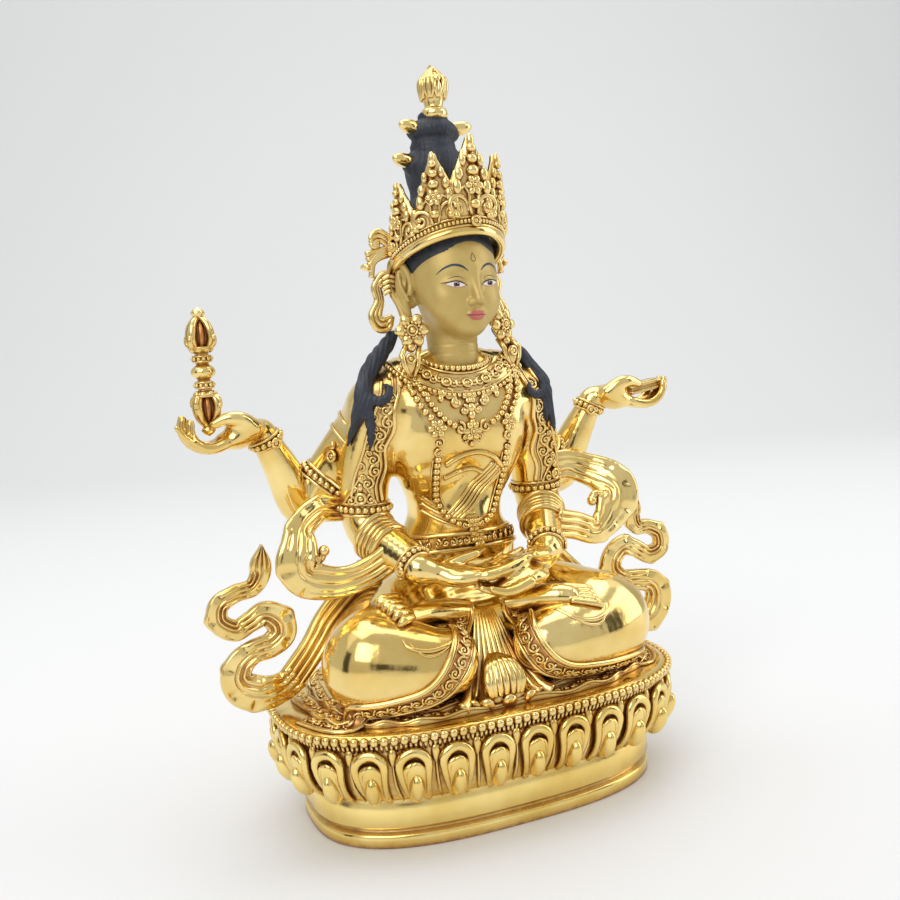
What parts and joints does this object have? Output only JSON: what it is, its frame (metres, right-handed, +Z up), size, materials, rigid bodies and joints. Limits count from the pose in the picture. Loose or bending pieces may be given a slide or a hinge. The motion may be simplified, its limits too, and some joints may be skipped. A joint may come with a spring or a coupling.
{
  "type": "seated deity statue",
  "caption": "Small gilded seated four-armed Buddhist figure with crown, vajra, book and flowing scarf on an oval lotus pedestal.",
  "frame": {"origin": "middle of the pedestal's flat underside", "axes": "+Z up through the figure, the figure faces -Y, its left hand is on +X"},
  "size_m": [0.1703, 0.084, 0.2278],
  "materials": {
    "gilding": "polished fire gilding over cast copper",
    "gilding_bright": "polished gilding with darkened recesses",
    "gilding_scarf": "polished gilding with darkened folds",
    "face_gold": "matt painted gold with painted features",
    "hair_paint": "matt blue-black paint"
  },
  "bodies": {
    "root": {"lotus_base": "gilding", "figure": "gilding", "crown": "gilding_bright", "vajra": "gilding_bright", "book": "gilding_bright", "scarf_right": "gilding_scarf", "scarf_left": "gilding_scarf"}
  },
  "joints": []
}
